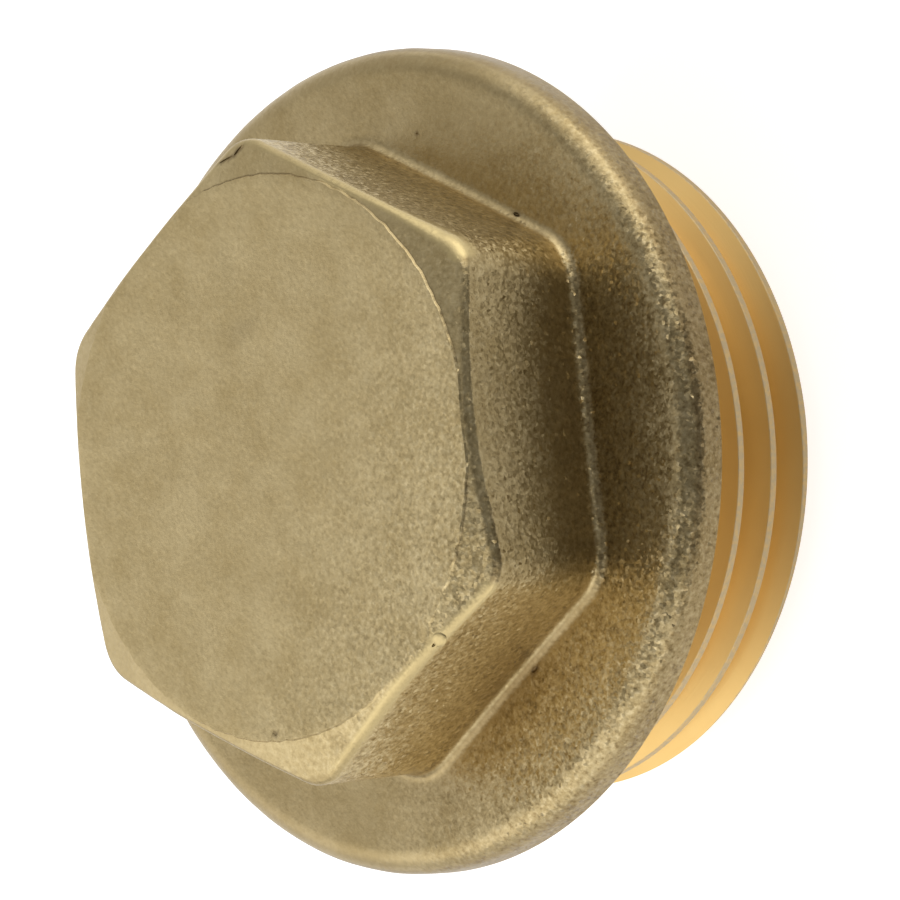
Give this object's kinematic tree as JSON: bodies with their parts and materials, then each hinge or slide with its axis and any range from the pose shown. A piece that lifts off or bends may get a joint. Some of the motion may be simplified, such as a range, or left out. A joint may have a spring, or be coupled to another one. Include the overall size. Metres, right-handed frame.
{
  "type": "flanged pipe plug",
  "caption": "Cast gunmetal pipe plug with a hexagon head, a round flange and a male parallel pipe thread, hollow from its threaded end. It screws into a port and closes it.",
  "frame": {"origin": "centre of the threaded end face, which the plug stands on", "axes": "+Z along the plug's axis from the threaded end to the head, +Y and -Y square to two opposite flats of the head"},
  "size_m": [0.041, 0.041, 0.0221],
  "materials": {
    "gunmetal": "as cast and shot-blasted, with a turned thread"
  },
  "bodies": {
    "root": {"flanged_plug": "gunmetal"}
  },
  "joints": []
}
